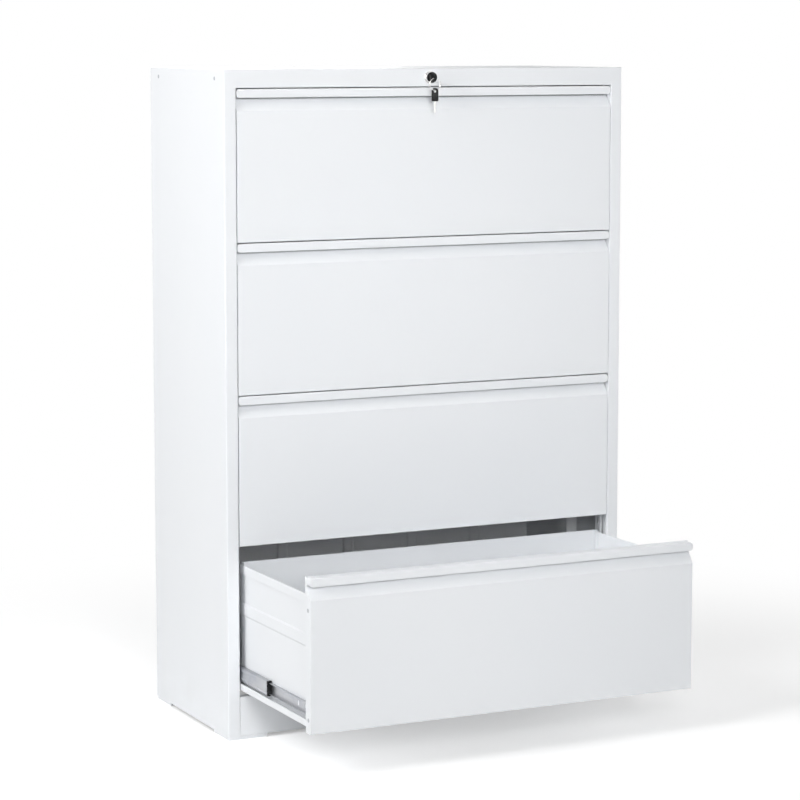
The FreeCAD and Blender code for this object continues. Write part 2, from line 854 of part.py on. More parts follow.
def lock_cam():
    """Cam on the back of the plug, with the pin that pushes the link bar."""
    front = barrel_body_length + cam_gap
    back = front + cam_thickness
    angle = math.radians(lock_turn / 2)
    pin_x = cam_throw * math.sin(angle)
    pin_z = lock_axis_z - cam_throw * math.cos(angle)
    hub = rod_y(0, lock_axis_z, cam_hub_radius, front, back)
    end = rod_y(pin_x, pin_z, cam_end_radius, front, back)
    across = (math.cos(angle), math.sin(angle))
    arm_points = [
        (-across[0] * cam_hub_radius, lock_axis_z - across[1] * cam_hub_radius),
        (pin_x - across[0] * cam_end_radius, pin_z - across[1] * cam_end_radius),
        (pin_x + across[0] * cam_end_radius, pin_z + across[1] * cam_end_radius),
        (across[0] * cam_hub_radius, lock_axis_z + across[1] * cam_hub_radius),
    ]
    arm = outline(arm_points, [0] * len(arm_points), on_front(front)).extrude(Vector(0, cam_thickness, 0))
    pin = rod_y(pin_x, pin_z, cam_pin_radius, front, back + cam_pin_out)
    return joined([hub, arm, end, pin])


def key_face(width, length, corner, place):
    """Outline of a key's head from its blade end at 0: square there and rounded at the far end."""
    points = rectangle(-width / 2, width / 2, 0, length)
    return outline(points, [barrel_edge, barrel_edge, corner, corner], place)


def key_head():
    """Black head of the key in the lock, standing upright in the barrel's mouth."""
    back = -barrel_out + mouth_depth

    def place(across, out):
        return Vector(-key_head_thickness / 2, back - out, lock_axis_z + across)

    head = key_face(key_head_width, key_head_length, key_head_corner, place)
    head = head.extrude(Vector(key_head_thickness, 0, 0))
    hole = rod_x_axis(-key_head_thickness, key_head_thickness, key_hole_y(), lock_axis_z, key_hole_radius)
    return head.cut(hole)


def key_hole_y():
    """Depth of the hole in the key's head."""
    return -barrel_out + mouth_depth - key_head_length + key_hole_from_end


def key_blade():
    """Steel blade of the key, inside the plug."""
    front = -barrel_out + mouth_depth
    half_thick = key_blade_thickness / 2
    half_tall = key_blade_width / 2
    levels = (lock_axis_z - half_tall, lock_axis_z + half_tall)
    return box(-half_thick, half_thick, front, front + key_blade_length, *levels)


def ring_top_z():
    """Height of the ring's wire where it rests in the key's hole."""
    return lock_axis_z - key_hole_radius + ring_wire_radius + ring_hang


def key_ring():
    """Split ring through the key's hole, facing the front."""
    centre = Vector(0, key_hole_y(), ring_top_z() - ring_mean_radius)
    return Part.makeTorus(ring_mean_radius, ring_wire_radius, centre, Vector(0, 1, 0))


def spare_level():
    """Height of the spare key's hole, resting on the bottom of the ring."""
    return ring_top_z() - 2 * ring_mean_radius - spare_hole_radius + ring_wire_radius + spare_hang


def hang_spare(shape):
    """Turns a piece of the spare key about its own upright axis, under the ring."""
    shape = shape.copy()
    shape.rotate(Vector(0, key_hole_y(), 0), Vector(0, 0, 1), spare_turn)
    return shape


def spare_key_head():
    """Black head of the spare key, hanging with its rounded end up."""
    low = spare_level() + spare_hole_from_top - key_head_length
    front = key_hole_y() - spare_head_thickness / 2

    def place(across, up):
        return Vector(across, front, low + up)

    head = key_face(spare_head_width, key_head_length, key_head_corner, place)
    head = head.extrude(Vector(0, spare_head_thickness, 0))
    ends = (key_hole_y() - spare_head_thickness, key_hole_y() + spare_head_thickness)
    return hang_spare(head.cut(rod_y(0, spare_level(), spare_hole_radius, *ends)))


def spare_key_blade():
    """Blade of the spare key, pointed at its tip."""
    top = spare_level() + spare_hole_from_top - key_head_length
    low = top - spare_blade_length
    half = key_blade_width / 2
    points = [
        (-half, top),
        (-half, low + spare_tip),
        (0, low),
        (half, low + spare_tip),
        (half, top),
    ]
    face = outline(points, [0] * len(points), on_front(key_hole_y() - key_blade_thickness / 2))
    return hang_spare(face.extrude(Vector(0, key_blade_thickness, 0)))


def link_travel():
    """How far the link bar moves while the lock turns."""
    return 2 * cam_throw * math.sin(math.radians(lock_turn / 2))


def link_bar():
    """Bar along the rail's flange, with a slot for the cam's pin and a sloped slot for the rod's pin."""
    front = barrel_body_length + cam_gap + cam_thickness + link_gap
    back = front + link_thickness
    low = cap_bottom + sheet + link_gap
    high = low + link_height
    along = box(-link_start, link_end, front, back, low, high)
    plate_back = rod_front - link_gap
    plate_front = plate_back - link_thickness
    arm = box(link_end - link_thickness, link_end, front, plate_back, low, high)
    plate = box(link_end - link_plate_width, link_end, plate_front, plate_back, low, low + link_plate_height)
    bar = joined([along, arm, plate])
    pin_x = cam_throw * math.sin(math.radians(lock_turn / 2))
    lowest = lock_axis_z - cam_throw
    highest = lock_axis_z - cam_throw * math.cos(math.radians(lock_turn / 2))
    slot_half = cam_pin_radius + link_slot_play
    cam_slot = box(
        pin_x - slot_half, pin_x + slot_half, front - overrun, back + overrun,
        lowest - slot_half, highest + slot_half
    )
    slope_slot = sloped_slot(plate_front - overrun, plate_back + overrun)
    return bar.cut(cam_slot).cut(slope_slot)


def sloped_slot(front, back):
    """Slot down to the right, along which the rod's pin is driven down as the bar moves left."""
    start = (rod_pin_x, rod_pin_z)
    end = (rod_pin_x + link_travel(), rod_pin_z - rod_drop)
    run = unit(start, end)
    half = rod_pin_radius + rod_pin_play
    points = [
        (start[0] - (run[0] - run[1]) * half, start[1] - (run[1] + run[0]) * half),
        (end[0] + (run[0] + run[1]) * half, end[1] + (run[1] - run[0]) * half),
        (end[0] + (run[0] - run[1]) * half, end[1] + (run[1] + run[0]) * half),
        (start[0] - (run[0] + run[1]) * half, start[1] - (run[1] - run[0]) * half),
    ]
    face = outline(points, [half - slot_flat] * len(points), on_front(front))
    return face.extrude(Vector(0, back - front, 0))


def lock_rod():
    """Flat rod behind the right stile: head plate, pin and a tab above every drawer's catch, welded on."""
    back = rod_front + rod_thickness
    right = rod_x + rod_width
    lowest_tab = drawer_bottom(drawer_count - 1) + tab_rise
    pieces = [
        box(rod_x, right, rod_front, back, lowest_tab - rod_below_tab, rod_head_bottom),
        box(right - rod_head_width, right, rod_front, back, rod_head_bottom, rod_head_top),
        rod_y(rod_pin_x, rod_pin_z, rod_pin_radius, rod_front - link_thickness - 2 * link_gap, rod_front),
    ]
    for index in range(drawer_count):
        low = drawer_bottom(index) + tab_rise
        pieces.append(box(box_half + tab_side_clearance, rod_x, rod_front, back, low, low + tab_height))
    return group(pieces)


def rod_guides():
    """Guides on the back of the front upright that hold the lock rod."""
    front = front_upright_start + front_upright_width
    back = rod_front + rod_thickness + guide_play + guide_wall
    low_x = rod_x - guide_play
    high_x = rod_x + rod_width + guide_play
    guides = []
    for share in guide_place_shares:
        low = upright_bottom + share * (upright_top - upright_bottom)
        block = box(low_x - guide_wall, high_x + guide_wall, front, back, low, low + guide_height)
        room_front = rod_front - guide_play
        room_back = back - guide_wall
        room = box(low_x, high_x, room_front, room_back, low - overrun, low + guide_height + overrun)
        guides.append(block.cut(room))
    return group(guides)


def opened(shape, distance):
    """A drawer's piece, drawn out towards the front."""
    shape = shape.copy()
    shape.translate(Vector(0, -distance, 0))
    return shape


def drawer_nodes(index):
    """Every piece of one drawer and its slides, by node name."""
    bottom = drawer_bottom(index)
    name = "drawer_%d" % (index + 1)
    distance = bottom_drawer_open if index == drawer_count - 1 else 0
    moving = {
        name + "_front": drawer_front(bottom),
        name + "_side_left": drawer_side_left(bottom),
        name + "_side_right": drawer_side_right(bottom),
        name + "_back": drawer_back(bottom),
        name + "_bottom": drawer_bottom_pan(bottom),
        name + "_plugs": front_plugs(bottom),
        name + "_slide_members": both_sides(slide_inner(bottom)),
    }
    halfway = {
        name + "_middle_members": both_sides(slide_middle(bottom)),
        name + "_ball_cages": both_sides(slide_cage(bottom)),
    }
    nodes = {node: opened(shape, distance) for node, shape in moving.items()}
    nodes.update({node: opened(shape, distance / 2) for node, shape in halfway.items()})
    return nodes


def cabinet_nodes():
    """Every piece of the cabinet and its lock, by node name."""
    left_panel = side_panel_left()
    left_slides = outer_slides()
    return {
        "side_panel_left": left_panel,
        "side_panel_right": mirrored(left_panel),
        "top_cap": top_cap(),
        "cap_screws": cap_screws(),
        "kick_rail": kick_rail(),
        "corner_feet": corner_feet(),
        "back_panel": back_panel(),
        "slide_uprights": slide_uprights(),
        "cabinet_members_left": left_slides,
        "cabinet_members_right": mirrored(left_slides),
        "lock_barrel": lock_barrel(),
        "lock_flange_ring": lock_flange_ring(),
        "lock_nut": lock_nut(),
        "lock_plug": lock_plug(),
        "lock_cam": lock_cam(),
        "key_head": key_head(),
        "key_blade": key_blade(),
        "key_ring": key_ring(),
        "spare_key_head": spare_key_head(),
        "spare_key_blade": spare_key_blade(),
        "link_bar": link_bar(),
        "lock_rod": lock_rod(),
        "rod_guides": rod_guides(),
    }


def main():
    """Writes one file for each node, in the frame whose origin is on the floor at the plan's centre."""
    nodes = cabinet_nodes()
    for index in range(drawer_count):
        nodes.update(drawer_nodes(index))
    os.makedirs("parts", exist_ok=True)
    for name, shape in nodes.items():
        placed = shape.copy()
        placed.translate(Vector(0, -plan_centre, 0))
        placed.exportStep("parts/%s.step" % name)
        print(name, len(placed.Solids), round(placed.Volume), placed.isValid())


main()
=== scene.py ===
"""Dresses the four-drawer lateral filing cabinet for its picture.

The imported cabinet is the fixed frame, in metres: X across the front, Y towards the wall, Z up.
Each sub-assembly below dresses its own solids and adds the small parts that the sheet metal carries.
"""

import sys

import logging
import math
from abc import ABC, abstractmethod
from dataclasses import dataclass
from enum import Enum
from typing import ClassVar, Iterable, Iterator, Sequence

import bmesh
import bpy
from mathutils import Matrix, Vector


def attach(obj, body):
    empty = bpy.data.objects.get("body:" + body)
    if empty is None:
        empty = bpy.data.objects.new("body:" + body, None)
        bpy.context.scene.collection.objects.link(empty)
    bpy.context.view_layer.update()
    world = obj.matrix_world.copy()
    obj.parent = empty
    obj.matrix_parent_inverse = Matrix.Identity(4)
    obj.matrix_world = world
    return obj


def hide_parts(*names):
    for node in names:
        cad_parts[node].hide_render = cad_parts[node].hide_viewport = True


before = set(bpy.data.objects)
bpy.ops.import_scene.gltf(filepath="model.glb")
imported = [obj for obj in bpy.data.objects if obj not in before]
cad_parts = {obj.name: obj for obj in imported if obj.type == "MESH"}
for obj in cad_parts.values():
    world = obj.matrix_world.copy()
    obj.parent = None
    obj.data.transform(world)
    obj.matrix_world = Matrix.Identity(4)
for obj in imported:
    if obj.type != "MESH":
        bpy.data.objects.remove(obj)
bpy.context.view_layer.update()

log = logging.getLogger("cabinet")
Colour = tuple[float, float, float]
Point = Sequence[float]


class Slot(Enum):
    """The finishes that the cabinet's record names."""

    ENAMEL = "white_enamel"
    ZINC = "zinc_plated"
    BRIGHT = "bright_metal"
    BLACK = "black_plastic"


class Value:
    """A number or vector on its way through a finish, written as a plain expression."""

    def __init__(self, recipe: "Recipe", socket: bpy.types.NodeSocket) -> None:
        """Wraps one output socket.

        Args:
            recipe: The recipe whose tree the socket is in.
            socket: The output that carries the value.
        """
        self.recipe = recipe
        self.socket = socket

    def _math(self, operation: str, left: "Value | float", right: "Value | float") -> "Value":
        """Adds one Math node.

        Args:
            operation: The Math node's operation.
            left: First operand.
            right: Second operand.

        Returns:
            The node's result.
        """
        return self.recipe.node("ShaderNodeMath", {"operation": operation}, {0: left, 1: right})

    def __add__(self, other: "Value | float") -> "Value":
        """Returns the sum."""
        return self._math("ADD", self, other)

    def __radd__(self, other: float) -> "Value":
        """Returns the sum with a number on the left."""
        return self._math("ADD", other, self)

    def __rsub__(self, other: float) -> "Value":
        """Returns a number less this value."""
        return self._math("SUBTRACT", other, self)

    def __mul__(self, other: "Value | float") -> "Value":
        """Returns the product."""
        return self._math("MULTIPLY", self, other)

    def __rmul__(self, other: float) -> "Value":
        """Returns the product with a number on the left."""
        return self._math("MULTIPLY", other, self)

    def clamped(self) -> "Value":
        """Returns the value held between 0 and 1."""
        return self.recipe.node("ShaderNodeClamp", {}, {"Value": self})

    def between(self, low: float, high: float) -> "Value":
        """Eases from 0 to 1 as the value goes from one bound to the other.

        Args:
            low: Where the result is 0.
            high: Where the result is 1.

        Returns:
            The eased value.
        """
        settings = {"interpolation_type": "SMOOTHSTEP"}
        sockets = {"Value": self, "From Min": low, "From Max": high}
        return self.recipe.node("ShaderNodeMapRange", settings, sockets)


class Recipe:
    """The node tree of one finish."""

    def __init__(self, name: str, material: bpy.types.Material | bpy.types.World | None = None) -> None:
        """Starts an empty tree.

        Args:
            name: Name of the material.
            material: A material or world to use instead of a new one.
        """
        self.material = material or bpy.data.materials.new(name)
        self.material.use_nodes = True
        self.tree = self.material.node_tree
        self.tree.nodes.clear()

    def node(self, kind: str, settings: dict[str, object], sockets: dict[str | int, object],
             output: str | int = 0) -> Value:
        """Adds any node.

        Args:
            kind: The node's type.
            settings: Attributes of the node, set before its sockets.
            sockets: Value or link of each input, by name or number.
            output: Which output to return.

        Returns:
            The chosen output.
        """
        made = self.tree.nodes.new(kind)
        for name, value in settings.items():
            setattr(made, name, value)
        for name, value in sockets.items():
            if isinstance(value, Value):
                self.tree.links.new(value.socket, made.inputs[name])
            else:
                made.inputs[name].default_value = value
        return Value(self, made.outputs[output])

    def place(self) -> Value:
        """Returns the surface point in the piece's own coordinates, in metres."""
        return self.node("ShaderNodeTexCoord", {}, {}, "Object")

    def stretched(self, scale: Point) -> Value:
        """Multiplies each axis of the surface point.

        Args:
            scale: Factor of each axis.

        Returns:
            The stretched point.
        """
        return self.node("ShaderNodeVectorMath", {"operation": "MULTIPLY"}, {0: self.place(), 1: scale})

    def axis(self, name: str) -> Value:
        """Takes one coordinate of the surface point.

        Args:
            name: X, Y or Z.

        Returns:
            The coordinate in metres.
        """
        return self.node("ShaderNodeSeparateXYZ", {}, {"Vector": self.place()}, name)

    def noise(self, scale: float, detail: float = 2.0, stretch: Point = (1.0, 1.0, 1.0)) -> Value:
        """Makes soft noise.

        Args:
            scale: Cells in a metre.
            detail: Octaves of finer noise.
            stretch: Factor of each axis, for streaks.

        Returns:
            The noise, from 0 to 1.
        """
        sockets = {"Vector": self.stretched(stretch), "Scale": scale, "Detail": detail, "Roughness": 0.55}
        return self.node("ShaderNodeTexNoise", {}, sockets)

    def blend(self, share: "Value | float", low: Colour | Value, high: Colour | Value) -> Value:
        """Mixes two colours.

        Args:
            share: Share of the second colour.
            low: First colour.
            high: Second colour.

        Returns:
            The mixed colour.
        """
        low = (*low, 1.0) if isinstance(low, tuple) else low
        high = (*high, 1.0) if isinstance(high, tuple) else high
        settings = {"data_type": "RGBA", "blend_type": "MIX", "clamp_factor": True}
        return self.node("ShaderNodeMix", settings, {0: share, 6: low, 7: high}, 2)

    def bump(self, height: Value, strength: float, distance: float) -> Value:
        """Tilts the surface with small relief.

        Args:
            height: Relief from 0 to 1.
            strength: How much of it shows.
            distance: Height of the relief in metres.

        Returns:
            The normal of the surface.
        """
        return self.node("ShaderNodeBump", {}, {"Height": height, "Strength": strength, "Distance": distance})

    def surface(self, sockets: dict[str | int, object]) -> bpy.types.Material:
        """Closes the recipe with one Principled surface.

        Args:
            sockets: Values and links of the surface's sockets.

        Returns:
            The finished material.
        """
        return self.close(self.node("ShaderNodeBsdfPrincipled", {}, sockets))

    def close(self, shader: Value) -> bpy.types.Material:
        """Links a shader to the output.

        Args:
            shader: The last shader.

        Returns:
            The finished material.
        """
        world = isinstance(self.material, bpy.types.World)
        end = self.tree.nodes.new("ShaderNodeOutputWorld" if world else "ShaderNodeOutputMaterial")
        self.tree.links.new(shader.socket, end.inputs["Surface"])
        return self.material


class Finish(ABC):
    """One finish, made once and shared by the pieces that carry it."""

    _made: ClassVar[dict["Finish", bpy.types.Material]] = {}

    @abstractmethod
    def mix(self) -> bpy.types.Material:
        """Builds the material."""

    def material(self) -> bpy.types.Material:
        """Returns the material, built at its first use."""
        if self not in Finish._made:
            Finish._made[self] = self.mix()
        return Finish._made[self]

    def dress(self, piece: bpy.types.Object) -> None:
        """Gives a piece this finish alone.

        Args:
            piece: The mesh object.
        """
        piece.data.materials.clear()
        piece.data.materials.append(self.material())


@dataclass(frozen=True)
class PowderCoat(Finish):
    """Semi-gloss white powder coat with a faint orange peel and rubbed patches.

    It carries a little dust low down, a few specks, and painted shade in the narrow folds of its own sheet.
    """

    name: str = "white_powder_coat"
    colour: Colour = (0.811, 0.828, 0.850)
    cooler: Colour = (0.965, 0.975, 0.985)
    drift: float = 0.36
    dust_colour: Colour = (0.60, 0.60, 0.59)
    dust_top: float = 0.16
    dust_share: float = 0.16
    speck_colour: Colour = (0.50, 0.52, 0.54)
    speck_share: float = 0.10
    # Painted shade: a near-black mixed into the colour deep in the folds of the piece's own sheet.
    fold_shade_colour: Colour = (0.045, 0.047, 0.050)
    fold_shade_reach: float = 0.008
    fold_shade_share: float = 0.85
    roughness: float = 0.40
    peel: float = 0.10
    peel_height: float = 0.00012
    refraction: float = 1.48

    def mix(self) -> bpy.types.Material:
        """Returns the powder coat."""
        r = Recipe(self.name)
        shade = tuple(c * k for c, k in zip(self.colour, self.cooler))
        cloud = r.noise(2.1, 3.0).between(0.3, 0.75)
        base = r.blend(cloud * self.drift, self.colour, shade)
        low_down = 1.0 - r.axis("Z").between(0.0, self.dust_top)
        dust = (low_down * r.noise(14.0, 5.0).between(0.35, 0.8) * self.dust_share).clamped()
        base = r.blend(dust, base, self.dust_colour)
        speck = r.noise(310.0, 2.0).between(0.71, 0.80)
        base = r.blend(speck * self.speck_share, base, self.speck_colour)
        # Painted shade: near-black over the colour in the sheet's own narrow folds, such as under the drawer
        # lips.
        base = r.blend(self.painted_fold_shade(r) * self.fold_shade_share, base, self.fold_shade_colour)
        rubbed = r.noise(5.0, 4.0, (1.0, 1.0, 1.6)).between(0.45, 0.8)
        rough = self.roughness + 0.07 * rubbed + 0.10 * dust
        peel = r.noise(620.0, 1.5) + 0.4 * r.noise(1500.0, 1.0)
        normal = r.bump(peel, self.peel, self.peel_height)
        return r.surface({"Base Color": base, "Roughness": rough, "Normal": normal, "IOR": self.refraction})

    def painted_fold_shade(self, r: Recipe) -> Value:
        """Finds the narrow folds of the piece's own sheet, where shade is painted into the colour.

        Args:
            r: The recipe that uses it.

        Returns:
            1 deep in a fold, 0 on open sheet.
        """
        # Ambient occlusion of the piece's own sheet picks out where this painted shade goes.
        settings = {"samples": 8, "only_local": True}
        sockets = {"Distance": self.fold_shade_reach}
        openness = r.node("ShaderNodeAmbientOcclusion", settings, sockets, "AO")
        return 1.0 - openness.between(0.10, 0.60)


@dataclass(frozen=True)
class ZincPlate(Finish):
    """Bright zinc plating with rolling marks along the sheet and a clear, slightly blue passivation."""

    name: str = "zinc_plate"
    colour: Colour = (0.53, 0.54, 0.56)
    blue: Colour = (0.46, 0.475, 0.515)
    stain: Colour = (0.35, 0.345, 0.335)
    stain_share: float = 0.35
    grain: Point = (9.0, 0.35, 9.0)
    roughness: float = 0.30
    relief: float = 0.12
    relief_height: float = 0.00008

    def mix(self) -> bpy.types.Material:
        """Returns the plating."""
        r = Recipe(self.name)
        marks = r.noise(90.0, 4.0, self.grain)
        tint = r.noise(26.0, 3.0).between(0.35, 0.7)
        base = r.blend(tint, self.colour, self.blue)
        stains = r.noise(70.0, 4.0).between(0.62, 0.8)
        base = r.blend(stains * self.stain_share, base, self.stain)
        rough = self.roughness + 0.16 * marks
        normal = r.bump(marks, self.relief, self.relief_height)
        return r.surface({"Base Color": base, "Metallic": 1.0, "Roughness": rough, "Normal": normal})


@dataclass(frozen=True)
class BrightNickel(Finish):
    """Polished nickel with hairline scratches."""

    name: str = "bright_nickel"
    colour: Colour = (0.74, 0.735, 0.725)
    scratch: Colour = (0.48, 0.47, 0.455)
    scratch_share: float = 0.30
    roughness: float = 0.13
    relief: float = 0.10
    relief_height: float = 0.00003

    def mix(self) -> bpy.types.Material:
        """Returns the nickel."""
        r = Recipe(self.name)
        hair = r.noise(420.0, 3.0, (1.0, 7.0, 1.4)).between(0.55, 0.75)
        base = r.blend(hair * self.scratch_share, self.colour, self.scratch)
        rough = self.roughness + 0.16 * hair
        normal = r.bump(hair, self.relief, self.relief_height)
        return r.surface({"Base Color": base, "Metallic": 1.0, "Roughness": rough, "Normal": normal})


@dataclass(frozen=True)
class MouldedBlack(Finish):
    """Black moulded plastic with a fine spark-eroded grain and paler handled patches."""

    name: str = "moulded_black"
    colour: Colour = (0.007, 0.0073, 0.008)
    worn: Colour = (0.018, 0.0185, 0.020)
    worn_share: float = 0.6
    roughness: float = 0.46
    gloss: float = 0.22
    relief: float = 0.25
    relief_height: float = 0.00005

    def mix(self) -> bpy.types.Material:
        """Returns the plastic."""
        r = Recipe(self.name)
        handled = r.noise(130.0, 3.0).between(0.45, 0.8)
        base = r.blend(handled * self.worn_share, self.colour, self.worn)
        rough = self.roughness + 0.14 * handled
        normal = r.bump(r.noise(2600.0, 2.0), self.relief, self.relief_height)
        sockets = {"Base Color": base, "Roughness": rough, "Normal": normal, "Specular IOR Level": self.gloss}
        return r.surface(sockets)


FINISHES: dict[Slot, Finish] = {
    Slot.ENAMEL: PowderCoat(),
    Slot.ZINC: ZincPlate(),
    Slot.BRIGHT: BrightNickel(),
    Slot.BLACK: MouldedBlack(),
}


Loop = list[bmesh.types.BMVert]


class Sketch:
    """A small part drawn point by point, in millimetres, that ends as one piece of the cabinet."""

    def __init__(self, name: str) -> None:
        """Starts an empty part.

        Args:
            name: The piece's name.
        """
        self.name = name
        self.net = bmesh.new()

    def loop(self, points: Iterable[Point], place: Matrix = Matrix()) -> Loop:
        """Adds points in order.

        Args:
            points: The points, in the part's own millimetres.
            place: Where the part's own axes lie in the cabinet.

        Returns:
            The new points.
        """
        return [self.net.verts.new(place @ Vector(point)) for point in points]

    def skin(self, rows: Sequence[Loop], returns: bool = False) -> None:
        """Joins closed loops of the same count, one to the next, and caps or closes the row.

        Args:
            rows: The loops in order.
            returns: Whether the last loop joins the first; otherwise both ends are capped.
        """
        pairs = list(zip(rows, rows[1:]))
        if returns:
            pairs.append((rows[-1], rows[0]))
        else:
            self.net.faces.new(rows[0])
            self.net.faces.new(rows[-1])
        for near, far in pairs:
            for i in range(len(near)):
                j = (i + 1) % len(near)
                self.net.faces.new((near[i], near[j], far[j], far[i]))

    def finish(self, body: str, slot: Slot, replaced: str | None = None,
               crease: float = 35.0) -> bpy.types.Object:
        """Turns the sketch into a piece that rides on a body of the cabinet.

        Args:
            body: The body that carries it.
            slot: Its finish.
            replaced: The solid that it stands for, if any.
            crease: Angle in degrees above which an edge stays sharp.

        Returns:
            The piece.
        """
        bmesh.ops.scale(self.net, vec=(0.001, 0.001, 0.001), verts=self.net.verts)
        bmesh.ops.recalc_face_normals(self.net, faces=self.net.faces)
        mesh = bpy.data.meshes.new(self.name)
        self.net.to_mesh(mesh)
        self.net.free()
        mesh.shade_smooth()
        mesh.set_sharp_from_angle(angle=math.radians(crease))
        piece = bpy.data.objects.new(self.name, mesh)
        bpy.context.scene.collection.objects.link(piece)
        FINISHES[slot].dress(piece)
        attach(piece, body)
        if replaced:
            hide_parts(replaced)
        return piece


def turned(x: Point, y: Point, z: Point, at: Point) -> Matrix:
    """Returns the placing that lays a part's own axes along three directions.

    Args:
        x: Direction of its own X.
        y: Direction of its own Y.
        z: Direction of its own Z.
        at: Where its own origin goes.
    """
    return Matrix.Translation(at) @ Matrix((x, y, z)).transposed().to_4x4()


def circle(count: int) -> Iterator[float]:
    """Returns the angles of evenly spaced points once round."""
    return (2.0 * math.pi * i / count for i in range(count))


@dataclass
class KeyHead:
    """Moulded key head: a rounded plate with softened edges and a hole for the ring. Millimetres."""

    width: float
    thickness: float
    hole_level: float
    hole_radius: float
    length: float = 27.0
    shoulder: float = 6.6
    foot: float = 2.2
    rounding: float = 0.9

    def edge(self, angle: float) -> float:
        """Returns how far the head's edge is from the middle of its hole.

        Args:
            angle: Direction seen from the hole, from the width axis towards the hole's end.
        """
        reach = 0.0
        for _ in range(80):
            x = abs(math.cos(angle) * reach)
            z = self.hole_level + math.sin(angle) * reach - self.length / 2.0
            corner = self.shoulder if z > 0.0 else self.foot
            out = (x - self.width / 2.0 + corner, abs(z) - self.length / 2.0 + corner)
            far = math.hypot(max(out[0], 0.0), max(out[1], 0.0)) + min(max(out), 0.0)
            reach += corner - far
        return reach

    def draw(self, sketch: Sketch, place: Matrix) -> None:
        """Adds the head to a sketch.

        Args:
            sketch: The sketch.
            place: Own X across, Y through and Z along the head from the blade's end.
        """
        angles = list(circle(72))
        edges = [self.edge(angle) for angle in angles]
        half = self.thickness / 2.0
        rows = []
        for side in (1.0, -1.0):
            rim = [(0.0, 0.5), (0.25, 0.84), (0.75, 1.0),
                   (-self.rounding, 0.97), (-0.3 * self.rounding, 0.8), (-0.0001, 0.5)]
            for inset, high in rim[:: int(side)]:
                radii = [(self.hole_radius if inset >= 0.0 else edge) + inset for edge in edges]
                points = [(math.cos(a) * r, side * high * half, self.hole_level + math.sin(a) * r)
                          for a, r in zip(angles, radii)]
                rows.append(sketch.loop(points, place))
        sketch.skin(rows, returns=True)


@dataclass
class KeyBlade:
    """Steel key blade with cuts in both edges and a milled groove in both faces. Millimetres."""

    length: float = 24.0
    width: float = 5.0
    thickness: float = 1.8
    tip: float = 3.0
    groove: float = 0.5
    cuts: tuple[float, ...] = (0.7, 0.2, 0.95, 0.45, 0.75)
    pitch: float = 3.4
    first_cut: float = 4.2

    def half_width(self, depth: float, cuts: Sequence[float]) -> float:
        """Returns the half width at one depth.

        Args:
            depth: Distance from the head.
            cuts: Depth of each cut in that edge.
        """
        half = self.width / 2.0
        for i, cut in enumerate(cuts):
            away = abs(depth - self.first_cut - i * self.pitch)
            half -= cut * min(1.0, max(0.0, (1.5 - away) / 0.9))
        into_tip = max(0.0, depth - self.length + self.tip)
        return min(half, self.width / 2.0 - 0.85 * into_tip)

    def draw(self, sketch: Sketch, place: Matrix) -> None:
        """Adds the blade to a sketch.

        Args:
            sketch: The sketch.
            place: Own X across, Y through, and the tip towards negative Z.
        """
        half = self.thickness / 2.0
        count = 2 * int(self.length)
        rows = []
        for i in range(count + 1):
            depth = self.length * i / count
            left, right = self.half_width(depth, self.cuts), self.half_width(depth, self.cuts[::-1])
            thin = half * (0.55 if i == count else 1.0)
            low = thin - self.groove
            section = [(-left, -0.6 * thin), (-left + 0.25, -thin), (-1.3, -thin), (-0.9, -low),
                       (0.9, -low), (1.3, -thin), (right - 0.25, -thin), (right, -0.6 * thin),
                       (right, 0.6 * thin), (right - 0.25, thin), (1.3, thin), (0.9, low),
                       (-0.9, low), (-1.3, thin), (-left + 0.25, thin), (-left, 0.6 * thin)]
            rows.append(sketch.loop([(x, y, -depth) for x, y in section], place))
        sketch.skin(rows)


@dataclass
class SplitRing:
    """Flat-wound split ring of two turns. Millimetres."""

    radius: float = 12.0
    wire: tuple[float, float] = (0.62, 0.34)
    lift: float = 0.38
    start: float = 118.0
    turns: float = 1.97
    steps: int = 176

    def draw(self, sketch: Sketch, centre: Point) -> None:
        """Adds the ring to a sketch.

        Args:
            sketch: The sketch.
            centre: The ring's middle; it lies in a plane that faces the front.
        """
        rows = []
        for i in range(self.steps + 1):
            share = i / self.steps
            angle = math.radians(self.start) + share * math.tau * self.turns
            cross = min(1.0, max(0.0, (share - 0.46) / 0.08))
            lift = self.lift * (2.0 * cross * cross * (3.0 - 2.0 * cross) - 1.0)
            fat = 0.55 if i in (0, self.steps) else 1.0
            section = [(self.radius + fat * self.wire[0] * math.cos(turn),
                        lift + fat * self.wire[1] * math.sin(turn)) for turn in circle(10)]
            points = [(centre[0] + r * math.cos(angle), centre[1] + y, centre[2] + r * math.sin(angle))
                      for r, y in section]
            rows.append(sketch.loop(points))
        sketch.skin(rows)


@dataclass
class Sleeve:
    """Thin bright sleeve round the lock's barrel, rolled over its rim. Millimetres."""

    radius: float = 10.8
    sheet: float = 0.25
    length: float = 6.4
    rim: float = 0.35

    def draw(self, sketch: Sketch, place: Matrix) -> None:
        """Adds the sleeve to a sketch.

        Args:
            sketch: The sketch.
            place: Own Z out of the lock, from the flange ring's front.
        """
        outer, sheet = self.radius + self.sheet, self.sheet
        profile = [(outer, 0.0), (outer, self.length - sheet), (outer - 0.3 * sheet, self.length),
                   (outer - self.rim, self.length + 0.2), (outer - self.rim - sheet, self.length),
                   (outer - 2.0 * sheet, self.length - sheet), (outer - 2.0 * sheet, 0.0)]
        rows = [sketch.loop([(r * math.cos(a), r * math.sin(a), z) for a in circle(64)], place)
                for r, z in profile]
        sketch.skin(rows, returns=True)


